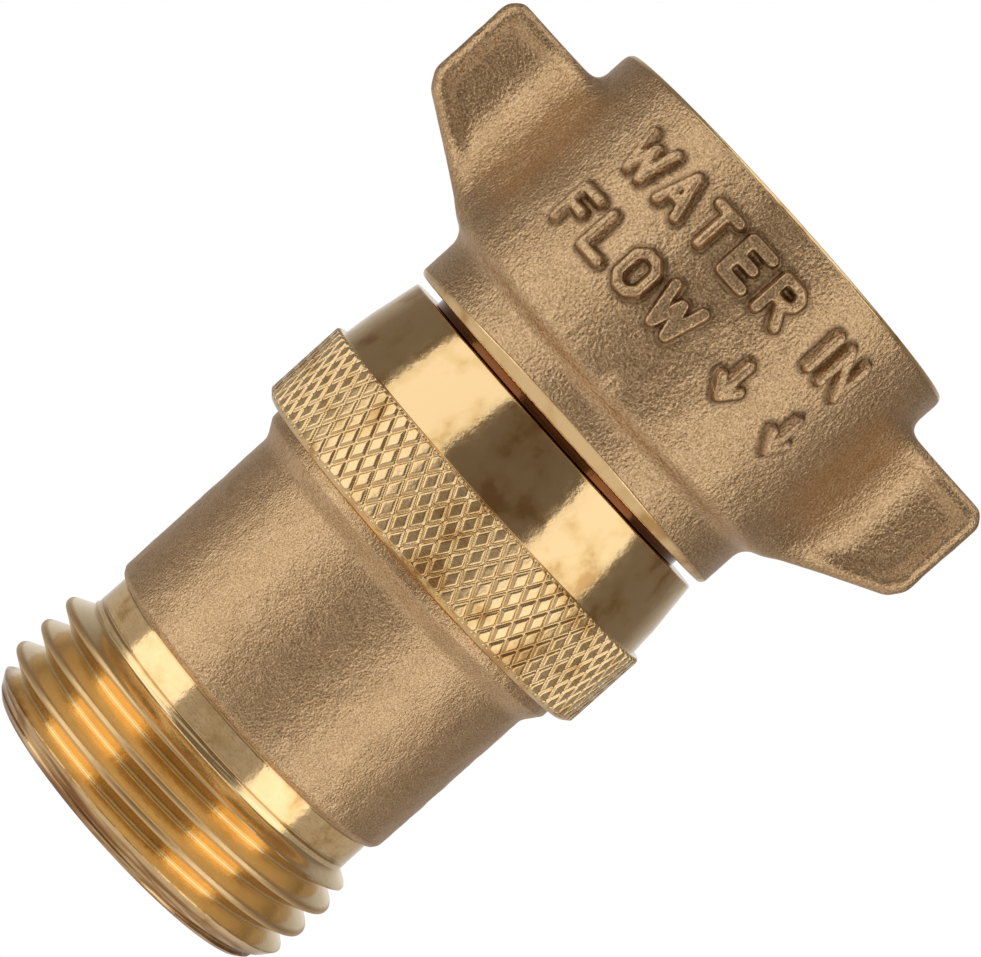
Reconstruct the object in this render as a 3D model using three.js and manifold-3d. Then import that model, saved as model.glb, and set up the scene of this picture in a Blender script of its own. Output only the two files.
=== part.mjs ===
// Inline water pressure regulator for a garden hose: a two-piece brass body with a sprung hollow piston inside,
// a male hose thread at the outlet and a winged swivel nut at the inlet.
// Millimetres. +Z runs along the flow axis from the outlet to the inlet, the origin is the centre of the outlet's
// end face, and the nut's wings lie along X.
import * as THREE from "three";
import { mergeVertices } from "three/addons/utils/BufferGeometryUtils.js";
import Module from "manifold-3d";

const wasm = await Module();
wasm.setup();

const TURN = 2 * Math.PI;
const BIG_SIDES = 40;
const SMALL_SIDES = 24;
const GAP = 0.05;

// Hose thread, 3/4-11.5 NH.
const PITCH = 2.2087;
const MALE_CREST_R = 13.45;
const MALE_ROOT_R = 12.0;
const FEMALE_CREST_R = 12.3;
const FEMALE_ROOT_R = 13.65;
const THREAD_SIDES = BIG_SIDES;

// Outlet body.
const OUTLET_BORE_R = 8.3;
const OUTLET_END_R = 11.8;
const RELIEF_R = 11.95;
const RELIEF_Z = 9.05;
const CAST_Z = 11.4;
const CAST_R = 12.55;
const FLANGE_R = 13.39;
const FLANGE_Z = 25.6;
const JOINT_Z = 26.4;
const PISTON_BORE_R = 10.05;
const PISTON_STOP_Z = 10.6;
const SPIGOT_R = 12.5;
const SPIGOT_Z = 33.5;
const SOCKET_R = 12.72;

// Inlet body.
const KNURL_R = 14.85;
const KNURL_TOP_Z = 32.8;
const BAND_R = 14.22;
const BAND_TOP_R = 13.46;
const BAND_TOP_Z = 38.55;
const NECK_R = 11.6;
const NECK_TOP_Z = 47.0;
const SPRING_CHAMBER_R = 9.6;
const DECK_LOW_Z = 35.6;
const DECK_TOP_Z = 39.6;
const LEDGE_R = 8.4;
const LEDGE_Z = 42.0;
const INLET_BORE_R = 9.25;
const VENT_R = 0.7;
const VENT_Z = 34.9;

// Swivel nut.
const NUT_LOW_Z = 39.2;
const COLLAR_R = 13.86;
const SHOULDER_Z = 43.2;
const DRUM_R = 15.36;
const NUT_TOP_Z = 59.1;
const NUT_LIP_R = 11.95;
const NUT_LIP_Z = 44.2;
const WING_SPAN_R = 23.06;
const WING_TOP_Z = 56.1;
const WING_HALF_T = 2.5;
const WING_BLEND_R = 6;

// Retaining ring on the neck.
const RING_GROOVE_R = 11.0;
const RING_LOW_Z = 44.4;
const RING_TOP_Z = 45.6;
const RING_R = 12.9;

// Inlet parts.
const WASHER_R = 12.1;
const WASHER_HOLE_R = 8.2;
const WASHER_TOP_Z = 49.9;
const CLIP_GROOVE_R = 9.8;
const CLIP_LOW_Z = 45.1;
const CLIP_TOP_Z = 45.8;
const SCREEN_R = 8.5;
const SCREEN_Z = 46.2;
const SCREEN_T = 0.3;
const SCREEN_PITCH = 2.4;
const SCREEN_HOLE = 1.7;

// Valve seat.
const SEAT_LOW_Z = 43.2;
const SEAT_TOP_Z = 44.4;
const SEAT_R = 4.6;
const HUB_R = 5.4;
const HUB_LOW_Z = 43.4;
const HUB_TOP_Z = 45.3;
const ARM_W = 1.8;
const SCREW_R = 1.0;

// Piston, at rest in the open position.
const STEM_R = 3.8;
const STEM_BORE_R = 2.8;
const STEM_TOP_Z = 41.0;
const HEAD_R = 9.95;
const HEAD_LOW_Z = 10.8;
const HEAD_TOP_Z = 16.0;
const HEAD_GROOVE_LOW_Z = 11.7;
const HEAD_GROOVE_TOP_Z = 14.5;
const HEAD_GROOVE_R = 8.0;
const STEM_SEAT_Z = 12.0;

// Stem seal and guide in the deck.
const DECK_BORE_R = 3.9;
const BUSH_R = 5.2;
const BUSH_TOP_Z = 37.0;
const GLAND_LOW_Z = 37.3;
const GLAND_TOP_Z = 39.2;
const GLAND_R = 5.3;

// Spring.
const SPRING_MEAN_R = 7.8;
const WIRE_R = 0.9;
const SPRING_LOW_Z = 16.7;
const SPRING_TOP_Z = 34.7;
const SPRING_TURNS = 6.5;

const BRASS = { color: 0xb08d4c, roughness: 0.45, metalness: 1 };
const TURNED_BRASS = { color: 0xc9a255, roughness: 0.2, metalness: 1 };
const STEEL = { color: 0xb9bcc0, roughness: 0.3, metalness: 1 };
const RUBBER = { color: 0x1c1c1d, roughness: 0.8, metalness: 0 };
const PTFE = { color: 0xe9e9e4, roughness: 0.5, metalness: 0 };

// A geometry as a solid: its seams are merged and the triangles that collapse on the axis are dropped.
function solidOf(geometry) {
  const bare = new THREE.BufferGeometry().setAttribute("position", geometry.getAttribute("position"));
  bare.setIndex(geometry.index);
  const merged = mergeVertices(bare, 1e-4);
  const corners = merged.index ? merged.index.array : merged.getAttribute("position").array.map((_, i) => i);
  const kept = [];
  for (let i = 0; i < corners.length; i += 3) {
    const [a, b, c] = corners.subarray(i, i + 3);
    if (a !== b && b !== c && c !== a) kept.push(a, b, c);
  }
  const vertProperties = new Float32Array(merged.getAttribute("position").array);
  return new wasm.Manifold(new wasm.Mesh({ numProp: 3, vertProperties, triVerts: new Uint32Array(kept) }));
}

function geometryOf(solid) {
  const { vertProperties, triVerts } = solid.getMesh();
  const geometry = new THREE.BufferGeometry();
  geometry.setAttribute("position", new THREE.BufferAttribute(vertProperties, 3));
  geometry.setIndex(new THREE.BufferAttribute(triVerts, 1));
  geometry.computeVertexNormals();
  return geometry;
}

// A solid turned about Z from a closed outline of [radius, z] corners, listed up the outside and down the inside.
function turned(outline, sides = SMALL_SIDES) {
  const points = [...outline, outline[0]].map(([r, z]) => new THREE.Vector2(r, z));
  const geometry = new THREE.LatheGeometry(points, sides);
  geometry.rotateX(Math.PI / 2);
  return solidOf(geometry);
}

function ring(innerR, outerR, lowZ, topZ, sides = SMALL_SIDES) {
  return turned([[outerR, lowZ], [outerR, topZ], [innerR, topZ], [innerR, lowZ]], sides);
}

function torus(meanR, sectionR, z) {
  const geometry = new THREE.TorusGeometry(meanR, sectionR, 8, SMALL_SIDES);
  geometry.translate(0, 0, z);
  return solidOf(geometry);
}

function box(x, y, z, sizeX, sizeY, sizeZ) {
  const geometry = new THREE.BoxGeometry(sizeX, sizeY, sizeZ);
  geometry.translate(x, y, z);
  return solidOf(geometry);
}

function extruded(shape, lowZ, topZ, curveSegments = 6) {
  const geometry = new THREE.ExtrudeGeometry(shape, { depth: topZ - lowZ, bevelEnabled: false, curveSegments });
  geometry.translate(0, 0, lowZ);
  return solidOf(geometry);
}

function closedShape(corners) {
  return new THREE.Shape(corners.map(([x, y]) => new THREE.Vector2(x, y)));
}

// A right-hand helical ridge. The section is listed in [radius, height]; its middle is at height z where the ridge
// starts, at angle startAngle, and it climbs one pitch a turn. A straight bar is bent round the axis.
function threadRidge(section, z, startAngle, turns) {
  const steps = Math.round(turns * THREAD_SIDES);
  const bar = new THREE.ExtrudeGeometry(closedShape(section), { depth: 1, steps, bevelEnabled: false });
  const position = bar.getAttribute("position");
  for (let i = 0; i < position.count; i++) {
    const along = 1 - position.getZ(i);
    const angle = startAngle + along * turns * TURN;
    const r = position.getX(i);
    const height = z + position.getY(i) + along * turns * PITCH;
    position.setXYZ(i, r * Math.cos(angle), r * Math.sin(angle), height);
  }
  return solidOf(bar);
}

// A flat ring with a gap, centred on +X, as a spring clip.
function splitRing(innerR, outerR, lowZ, topZ, gapAngle) {
  const from = gapAngle / 2;
  const to = TURN - gapAngle / 2;
  const shape = new THREE.Shape();
  shape.absarc(0, 0, outerR, from, to, false);
  shape.absarc(0, 0, innerR, to, from, true);
  shape.closePath();
  return extruded(shape, lowZ, topZ, SMALL_SIDES);
}

function maleThread() {
  const lowZ = -1;
  const turns = 4.5;
  const crestZAtMinusX = 7.28;
  const side = Math.round(((lowZ - crestZAtMinusX) / PITCH) * THREAD_SIDES);
  const startAngle = Math.PI + (side / THREAD_SIDES) * TURN;
  const section = [[11.7, -1.0], [MALE_CREST_R, -0.3], [MALE_CREST_R, 0.3], [11.7, 1.0]];
  const envelope = turned(
    [[OUTLET_END_R, 0], [MALE_CREST_R, 1.5], [MALE_CREST_R + 0.05, 7.9], [MALE_ROOT_R, 8.9], [10, 8.9], [10, 0]],
    BIG_SIDES,
  );
  return threadRidge(section, lowZ, startAngle, turns).intersect(envelope);
}

function outletBody() {
  const core = turned(
    [
      [OUTLET_END_R, 0], [MALE_ROOT_R, 0.3], [MALE_ROOT_R, RELIEF_Z], [RELIEF_R, RELIEF_Z + 0.1],
      [RELIEF_R, CAST_Z - 0.1], [CAST_R - 0.35, CAST_Z], [CAST_R, CAST_Z + 0.5], [CAST_R, 24.4],
      [FLANGE_R, FLANGE_Z], [FLANGE_R, JOINT_Z - GAP], [SPIGOT_R, JOINT_Z - GAP], [SPIGOT_R, SPIGOT_Z],
      [PISTON_BORE_R, SPIGOT_Z], [PISTON_BORE_R, PISTON_STOP_Z], [OUTLET_BORE_R, PISTON_STOP_Z],
      [OUTLET_BORE_R, 0],
    ],
    BIG_SIDES,
  );
  return core.add(maleThread());
}

function inletBody() {
  const outside = turned(
    [
      [KNURL_R - 0.45, JOINT_Z], [KNURL_R, JOINT_Z + 0.45], [KNURL_R, KNURL_TOP_Z - 0.25],
      [BAND_R + 0.2, KNURL_TOP_Z], [BAND_R, KNURL_TOP_Z + 0.1], [14.03, 34.9], [13.71, 36.9],
      [BAND_TOP_R + 0.05, BAND_TOP_Z - 0.35], [BAND_TOP_R - 0.25, BAND_TOP_Z], [NECK_R, BAND_TOP_Z],
      [NECK_R, RING_LOW_Z], [RING_GROOVE_R, RING_LOW_Z], [RING_GROOVE_R, RING_TOP_Z], [NECK_R, RING_TOP_Z],
      [NECK_R, NECK_TOP_Z - 0.4], [NECK_R - 0.4, NECK_TOP_Z], [0, NECK_TOP_Z], [0, JOINT_Z],
    ],
    BIG_SIDES,
  );
  const inside = turned([
    [SOCKET_R, JOINT_Z - 1], [SOCKET_R, SPIGOT_Z + 0.15], [SPRING_CHAMBER_R, SPIGOT_Z + 0.15],
    [SPRING_CHAMBER_R, DECK_LOW_Z], [BUSH_R, DECK_LOW_Z], [BUSH_R, BUSH_TOP_Z], [DECK_BORE_R, BUSH_TOP_Z],
    [DECK_BORE_R, GLAND_LOW_Z], [GLAND_R, GLAND_LOW_Z], [GLAND_R, GLAND_TOP_Z], [DECK_BORE_R, GLAND_TOP_Z],
    [DECK_BORE_R, DECK_TOP_Z], [LEDGE_R, DECK_TOP_Z], [LEDGE_R, LEDGE_Z], [INLET_BORE_R, LEDGE_Z],
    [INLET_BORE_R, CLIP_LOW_Z], [CLIP_GROOVE_R, CLIP_LOW_Z], [CLIP_GROOVE_R, CLIP_TOP_Z],
    [INLET_BORE_R, CLIP_TOP_Z], [INLET_BORE_R, NECK_TOP_Z + 1], [0, NECK_TOP_Z + 1], [0, JOINT_Z - 1],
  ]);
  const vent = new THREE.CylinderGeometry(VENT_R, VENT_R, 8, 12);
  vent.translate(0, 12, VENT_Z);
  return outside.subtract(inside).subtract(solidOf(vent));
}

// One wing: its side outline, seen along Y, cut to its plan outline, which blends into the drum.
function wing() {
  const side = closedShape([
    [10, 41], [13.95, 43.0], [22.5, 47.8], [WING_SPAN_R, 48.8], [WING_SPAN_R, 54.9],
    [22.7, 55.8], [21.9, WING_TOP_Z], [10, WING_TOP_Z],
  ]);
  const sideBar = new THREE.ExtrudeGeometry(side, { depth: 30, bevelEnabled: false });
  sideBar.rotateX(Math.PI / 2);
  sideBar.translate(0, 15, 0);
  const blendY = WING_HALF_T + WING_BLEND_R;
  const blendX = Math.sqrt((DRUM_R + WING_BLEND_R) ** 2 - blendY ** 2);
  const endAngle = Math.PI + Math.atan2(blendY, blendX);
  const plan = new THREE.Shape();
  plan.moveTo(10, -blendY);
  plan.absarc(blendX, -blendY, WING_BLEND_R, TURN - endAngle, Math.PI / 2, true);
  plan.lineTo(WING_SPAN_R - 1, -WING_HALF_T);
  plan.lineTo(WING_SPAN_R, 1 - WING_HALF_T);
  plan.lineTo(WING_SPAN_R, WING_HALF_T - 1);
  plan.lineTo(WING_SPAN_R - 1, WING_HALF_T);
  plan.absarc(blendX, blendY, WING_BLEND_R, 1.5 * Math.PI, endAngle, true);
  plan.lineTo(10, blendY);
  plan.closePath();
  return solidOf(sideBar).intersect(extruded(plan, 40, 57, 12));
}

function swivelNut() {
  const outside = turned(
    [
      [NUT_LIP_R, NUT_LOW_Z], [COLLAR_R - 0.36, NUT_LOW_Z], [COLLAR_R, NUT_LOW_Z + 0.6], [COLLAR_R, SHOULDER_Z],
      [14.75, 43.45], [15.2, 44.05], [DRUM_R, 44.9], [DRUM_R, NUT_TOP_Z - 0.4], [DRUM_R - 0.3, NUT_TOP_Z],
      [FEMALE_ROOT_R + 0.15, NUT_TOP_Z], [FEMALE_ROOT_R, NUT_TOP_Z - 0.8], [FEMALE_ROOT_R, NUT_LIP_Z],
      [NUT_LIP_R, NUT_LIP_Z],
    ],
    BIG_SIDES,
  );
  const hollow = turned([[FEMALE_ROOT_R, 38], [FEMALE_ROOT_R, 61], [0, 61], [0, 38]], BIG_SIDES);
  const rightWing = wing().subtract(hollow);
  const leftWing = rightWing.rotate([0, 0, 180]);
  const section = [
    [FEMALE_ROOT_R + 0.3, -1.0], [FEMALE_ROOT_R + 0.3, 1.0], [FEMALE_CREST_R, 0.3], [FEMALE_CREST_R, -0.3],
  ];
  const envelope = turned(
    [[14.2, 50.1], [14.2, 58.4], [13.5, 58.4], [FEMALE_CREST_R, 57.3], [FEMALE_CREST_R - 0.05, 51.2], [13.5, 50.1]],
    BIG_SIDES,
  );
  const ridge = threadRidge(section, 50.8, 0, 3.1).intersect(envelope);
  return outside.add(rightWing).add(leftWing).add(ridge);
}

// Three arms join the outer ring to a hub, whose cup holds the seat disc facing down.
function seatCarrier() {
  const rim = ring(7.6, INLET_BORE_R - 0.08, LEDGE_Z + GAP, CLIP_LOW_Z - GAP);
  const hub = turned([
    [HUB_R, HUB_LOW_Z], [HUB_R, HUB_TOP_Z - 0.4], [HUB_R - 0.4, HUB_TOP_Z], [SCREW_R + 0.04, HUB_TOP_Z],
    [SCREW_R + 0.04, SEAT_TOP_Z], [SEAT_R + 0.08, SEAT_TOP_Z], [SEAT_R + 0.08, HUB_LOW_Z],
  ]);
  let carrier = rim.add(hub);
  const armLength = 3.4;
  const armX = HUB_R - 0.3 + armLength / 2;
  const arm = box(armX, 0, (HUB_LOW_Z + CLIP_LOW_Z - GAP) / 2, armLength, ARM_W, CLIP_LOW_Z - GAP - HUB_LOW_Z);
  for (const degrees of [90, 210, 330]) carrier = carrier.add(arm.rotate([0, 0, degrees]));
  return carrier;
}

// A pan-head screw seen from below, with a straight slot, through the disc and the hub.
function seatScrew() {
  const headLowZ = 42.1;
  const headTopZ = SEAT_LOW_Z - 0.35;
  const screw = turned([
    [0, headLowZ], [1.2, headLowZ], [1.6, headLowZ + 0.3], [1.6, headTopZ], [SCREW_R, headTopZ], [SCREW_R, 45.7],
    [SCREW_R - 0.3, 46.0], [0, 46.0],
  ]);
  return screw.subtract(box(0, 0, headLowZ, 0.5, 4, 0.6));
}

function internalClip() {
  const clip = splitRing(8.5, CLIP_GROOVE_R - 0.1, CLIP_LOW_Z + GAP, CLIP_TOP_Z - GAP, 0.5);
  let ears = clip;
  for (const side of [-1, 1]) {
    const ear = new THREE.Shape();
    const x = 7.9 * Math.cos(0.42);
    const y = side * 7.9 * Math.sin(0.42);
    ear.absarc(x, y, 1.15, 0, TURN, false);
    const hole = new THREE.Path();
    hole.absarc(x, y, 0.5, 0, TURN, true);
    ear.holes.push(hole);
    ears = ears.add(extruded(ear, CLIP_LOW_Z + GAP, CLIP_TOP_Z - GAP));
  }
  return ears;
}

function inletScreen() {
  const lowZ = SCREEN_Z + GAP;
  const topZ = SCREEN_Z + SCREEN_T;
  let disc = turned([[SCREEN_R, lowZ], [SCREEN_R, topZ], [0, topZ], [0, lowZ]]);
  for (let i = -3; i <= 3; i++) {
    for (let j = -3; j <= 3; j++) {
      const x = i * SCREEN_PITCH;
      const y = j * SCREEN_PITCH;
      if (Math.hypot(x, y) > 6.9) continue;
      disc = disc.subtract(box(x, y, lowZ, SCREEN_HOLE, SCREEN_HOLE, 2));
    }
  }
  return disc;
}

function screenRim() {
  const slotLowZ = SCREEN_Z;
  const slotTopZ = SCREEN_Z + SCREEN_T + GAP;
  return turned([
    [INLET_BORE_R - 0.1, CLIP_TOP_Z + 0.03], [INLET_BORE_R - 0.1, NECK_TOP_Z - 0.05], [7.9, NECK_TOP_Z - 0.05],
    [7.9, slotTopZ], [SCREEN_R + 0.08, slotTopZ], [SCREEN_R + 0.08, slotLowZ], [7.9, slotLowZ],
    [7.9, CLIP_TOP_Z + 0.03],
  ]);
}

function hoseWasher() {
  const lowZ = NECK_TOP_Z + GAP;
  return turned([
    [WASHER_R - 0.25, lowZ], [WASHER_R, lowZ + 0.25], [WASHER_R, WASHER_TOP_Z - 0.25],
    [WASHER_R - 0.25, WASHER_TOP_Z], [WASHER_HOLE_R + 0.2, WASHER_TOP_Z],
    [WASHER_HOLE_R, WASHER_TOP_Z - 0.2], [WASHER_HOLE_R, lowZ],
  ]);
}

function pistonHead() {
  return turned([
    [HEAD_R - 0.5, HEAD_LOW_Z], [HEAD_R, HEAD_LOW_Z + 0.4], [HEAD_R, HEAD_GROOVE_LOW_Z],
    [HEAD_GROOVE_R, HEAD_GROOVE_LOW_Z], [HEAD_GROOVE_R, HEAD_GROOVE_TOP_Z], [HEAD_R, HEAD_GROOVE_TOP_Z],
    [HEAD_R, HEAD_TOP_Z - 0.3], [HEAD_R - 0.3, HEAD_TOP_Z], [STEM_R + 0.05, HEAD_TOP_Z],
    [STEM_R + 0.05, STEM_SEAT_Z], [STEM_BORE_R, STEM_SEAT_Z], [STEM_BORE_R + 0.8, HEAD_LOW_Z],
  ]);
}

function pistonStem() {
  return turned([
    [STEM_R, STEM_SEAT_Z + GAP], [STEM_R, STEM_TOP_Z - 0.7], [STEM_BORE_R + 0.35, STEM_TOP_Z],
    [STEM_BORE_R + 0.1, STEM_TOP_Z], [STEM_BORE_R, STEM_TOP_Z - 0.3], [STEM_BORE_R, STEM_SEAT_Z + GAP],
  ]);
}

// The spring's wire path: a closed turn at each end and open turns between.
class SpringPath extends THREE.Curve {
  getPoint(t, target = new THREE.Vector3()) {
    const low = SPRING_LOW_Z + WIRE_R * 0.55;
    const high = SPRING_TOP_Z - WIRE_R * 0.55;
    const closedRise = 2 * WIRE_R + 0.1;
    const openRise = (high - low - 2 * closedRise) / (SPRING_TURNS - 2);
    const turn = t * SPRING_TURNS;
    const inFirst = Math.min(turn, 1);
    const inLast = Math.max(turn - (SPRING_TURNS - 1), 0);
    const inOpen = turn - inFirst - inLast;
    const z = low + (inFirst + inLast) * closedRise + inOpen * openRise;
    return target.set(SPRING_MEAN_R * Math.cos(turn * TURN), SPRING_MEAN_R * Math.sin(turn * TURN), z);
  }
}

// A coil of round wire with its two ends ground flat.
function spring() {
  const wire = new THREE.Shape();
  wire.absarc(0, 0, WIRE_R, 0, TURN, false);
  const coil = new THREE.ExtrudeGeometry(wire, {
    steps: SPRING_TURNS * 16,
    curveSegments: 4,
    bevelEnabled: false,
    extrudePath: new SpringPath(),
  });
  return solidOf(coil).intersect(ring(5.5, 10.5, SPRING_LOW_Z, SPRING_TOP_Z));
}

const regulator = new THREE.Group();

function place(name, solid, look) {
  const mesh = new THREE.Mesh(geometryOf(solid), new THREE.MeshStandardMaterial(look));
  mesh.name = name;
  regulator.add(mesh);
}

place("outlet_body", outletBody(), BRASS);
place("inlet_body", inletBody(), TURNED_BRASS);
place("swivel_nut", swivelNut(), BRASS);
place(
  "nut_retaining_ring",
  splitRing(RING_GROOVE_R + 0.1, RING_R, RING_LOW_Z + GAP, RING_TOP_Z - GAP, 0.12),
  STEEL,
);
place("hose_washer", hoseWasher(), RUBBER);
place("screen_rim", screenRim(), TURNED_BRASS);
place("inlet_screen", inletScreen(), STEEL);
place("seat_carrier", seatCarrier(), TURNED_BRASS);
place("carrier_snap_ring", internalClip(), STEEL);
place("seat_disc", ring(SCREW_R + 0.04, SEAT_R, SEAT_LOW_Z, SEAT_TOP_Z - GAP), RUBBER);
place("seat_washer", ring(SCREW_R + 0.04, 2.2, SEAT_LOW_Z - 0.3, SEAT_LOW_Z - 0.04), STEEL);
place("seat_screw", seatScrew(), STEEL);
place("piston_head", pistonHead(), TURNED_BRASS);
place("piston_stem", pistonStem(), STEEL);
place("head_o_ring", torus(9.05, 0.92, 12.75), RUBBER);
place("head_backup_ring", ring(HEAD_GROOVE_R + 0.1, HEAD_R, 13.75, HEAD_GROOVE_TOP_Z - GAP), PTFE);
place("stem_o_ring", torus(4.6, 0.6, 38.5), RUBBER);
place("stem_backup_ring", ring(STEM_R + 0.1, GLAND_R - 0.1, GLAND_LOW_Z + GAP, GLAND_LOW_Z + 0.5), PTFE);
place("guide_bush", ring(STEM_R + 0.08, BUSH_R - 0.08, DECK_LOW_Z, BUSH_TOP_Z - GAP), PTFE);
place("spring", spring(), STEEL);
place("upper_spring_washer", ring(STEM_R + 0.4, 9.3, SPRING_TOP_Z + GAP, DECK_LOW_Z - GAP), STEEL);
place("lower_spring_shim", ring(STEM_R + 0.4, 9.3, HEAD_TOP_Z + GAP, SPRING_LOW_Z - GAP), STEEL);

export default regulator;
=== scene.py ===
import math

import bmesh
import bpy
import numpy as np
import openvdb
from mathutils import Matrix, Vector


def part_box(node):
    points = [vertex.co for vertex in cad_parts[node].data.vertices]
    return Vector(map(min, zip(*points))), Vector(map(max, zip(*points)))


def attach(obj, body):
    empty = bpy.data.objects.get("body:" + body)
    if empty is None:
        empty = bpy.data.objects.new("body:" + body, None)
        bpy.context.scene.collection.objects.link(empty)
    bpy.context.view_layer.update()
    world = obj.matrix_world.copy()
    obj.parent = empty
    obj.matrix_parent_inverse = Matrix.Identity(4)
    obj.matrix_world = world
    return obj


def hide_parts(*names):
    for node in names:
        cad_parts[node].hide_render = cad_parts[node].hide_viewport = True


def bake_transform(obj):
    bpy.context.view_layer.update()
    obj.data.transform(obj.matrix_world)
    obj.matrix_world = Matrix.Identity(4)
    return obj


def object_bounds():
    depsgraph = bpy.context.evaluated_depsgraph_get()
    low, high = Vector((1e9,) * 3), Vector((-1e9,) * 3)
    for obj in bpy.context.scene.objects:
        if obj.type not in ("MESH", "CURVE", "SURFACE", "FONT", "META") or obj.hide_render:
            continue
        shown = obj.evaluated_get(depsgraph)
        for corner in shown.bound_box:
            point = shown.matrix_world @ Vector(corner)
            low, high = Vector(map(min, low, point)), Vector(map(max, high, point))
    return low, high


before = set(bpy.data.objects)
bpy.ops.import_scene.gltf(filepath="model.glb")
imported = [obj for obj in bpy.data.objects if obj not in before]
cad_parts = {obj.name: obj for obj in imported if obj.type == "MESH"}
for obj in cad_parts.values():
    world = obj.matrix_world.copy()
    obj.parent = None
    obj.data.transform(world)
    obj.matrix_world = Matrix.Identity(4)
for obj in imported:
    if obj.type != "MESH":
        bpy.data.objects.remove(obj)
cad_low, cad_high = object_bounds()

# Lengths are in millimetres until a mesh is written, and some heights and radii come from the CAD nodes' own
# boxes.
MM = 0.001
TURN = 2 * math.pi


def box_mm(node):
    """A CAD node's lowest and highest corners in millimetres."""
    low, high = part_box(node)
    return np.array(low) / MM, np.array(high) / MM


outlet_low, outlet_high = box_mm("outlet_body")
inlet_low, inlet_high = box_mm("inlet_body")
nut_low, nut_high = box_mm("swivel_nut")

# Hose thread, 3/4-11.5 NH.
PITCH = 25.4 / 11.5
CREST_ROUND = 0.29
ROOT_ROUND = 0.1
FLANK_SLOPE = math.sqrt(3)
MALE_R = 13.45
MALE_CREST_Z = 7.28
FEMALE_MINOR_R = 12.3
FEMALE_MAJOR_R = 13.65
FEMALE_CREST_Z = 52.0

# Outlet half: threaded end, relief groove, cast barrel and flange.
OUTLET_END_R = 11.8
START_LINE_Z = 0.5
RELIEF_R = 11.95
RELIEF_Z = 9.05
RELIEF_LINE_Z = 9.2
CAST_LOW_Z = 11.36
CAST_R = 12.55
FLANGE_R = 13.39
SPIGOT_R = 12.5
SPIGOT_TOP_Z = 33.5
PISTON_BORE_R = 10.05
PISTON_BORE_Z = 10.6
OUTLET_BORE_R = 8.3

# Inlet half: knurled ring, polished band and neck.
JOINT_Z = inlet_low[2]
KNURL_R = inlet_high[0]
KNURL_TOP_Z = JOINT_Z + 6.4
KNURL_COUNT = 76
KNURL_TALL = 2.08
KNURL_DEPTH = 0.19
KNURL_HALF_W = 0.17
BAND_TOP_Z = JOINT_Z + 12.15
VENT_R = 0.7
VENT_Z = JOINT_Z + 8.5
NECK_R = 11.6
NECK_TOP_Z = inlet_high[2]
SOCKET_R = 12.72

# Inside of the inlet half: grooves for the nut's split ring and the circlip, then the carrier's shelf,
# the deck with the stem's seal and bush, and the spring's room.
SPLIT_RING_R = 11.0
SPLIT_RING_LOW_Z = 44.4
SPLIT_RING_TOP_Z = 45.6
CARRIER_R = 9.25
CARRIER_SHELF_Z = 42.0
CIRCLIP_R = 9.8
CIRCLIP_LOW_Z = 45.1
CIRCLIP_TOP_Z = 45.8
PASSAGE_R = 8.4
DECK_LOW_Z = 35.6
DECK_TOP_Z = 39.6
STEM_HOLE_R = 3.9
SEAL_R = 5.3
SEAL_LOW_Z = 37.3
SEAL_TOP_Z = 39.2
BUSH_R = 5.2
BUSH_TOP_Z = 37.0
SPRING_ROOM_R = 9.6
SPRING_ROOM_Z = 33.65

# Piston, and the strainer's rim.
HEAD_GROOVE_R = 8.0
HEAD_GROOVE_LOW_Z = 11.7
HEAD_GROOVE_TOP_Z = 14.5
STEM_BORE_R = 2.8
STEM_SEAT_R = 3.85
STEM_SEAT_Z = 12.0
RIM_HOLE_R = 7.9
RIM_SLOT_R = 8.58
RIM_SLOT_LOW_Z = 46.2
RIM_SLOT_TOP_Z = 46.57

# Swivel nut.
NUT_Z = nut_low[2]
NUT_TOP_Z = nut_high[2]
SHOULDER_Z = NUT_Z + 4.0
COLLAR_R = 13.86
COLLAR_OVAL = 0.4
CHAMFER_R = COLLAR_R - 0.18
CHAMFER_SLOPE = 0.62
DRUM_R = nut_high[1]
WING_R = nut_high[0]
WING_TOP_Z = NUT_TOP_Z - 3.0
WING_HALF_T = 2.5
WING_FILLET = 4.2
WING_DISH = 0.5
LIP_R = 11.95
LIP_Z = NUT_Z + 5.0

ARC_STEPS = 4


# ---------------------------------------------------------------- meshes


def new_mesh(name, points, faces, materials, slots=None, sharp=35):
    """A smooth-shaded object from points in millimetres and an array of quads or triangles."""
    mesh = bpy.data.meshes.new(name)
    faces = np.asarray(faces, np.int32)
    corners = faces.shape[1]
    mesh.vertices.add(len(points))
    mesh.vertices.foreach_set("co", (np.asarray(points) * MM).astype(np.float32).ravel())
    mesh.loops.add(faces.size)
    mesh.loops.foreach_set("vertex_index", faces.ravel())
    mesh.polygons.add(len(faces))
    mesh.polygons.foreach_set("loop_start", np.arange(0, faces.size, corners, dtype=np.int32))
    if slots is not None:
        mesh.polygons.foreach_set("material_index", np.asarray(slots, np.int32))
    mesh.update(calc_edges=True)
    mesh.validate()
    mesh.shade_smooth()
    mesh.set_sharp_from_angle(angle=math.radians(sharp))
    for material in materials:
        mesh.materials.append(material)
    piece = bpy.data.objects.new(name, mesh)
    bpy.context.scene.collection.objects.link(piece)
    return piece


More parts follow.
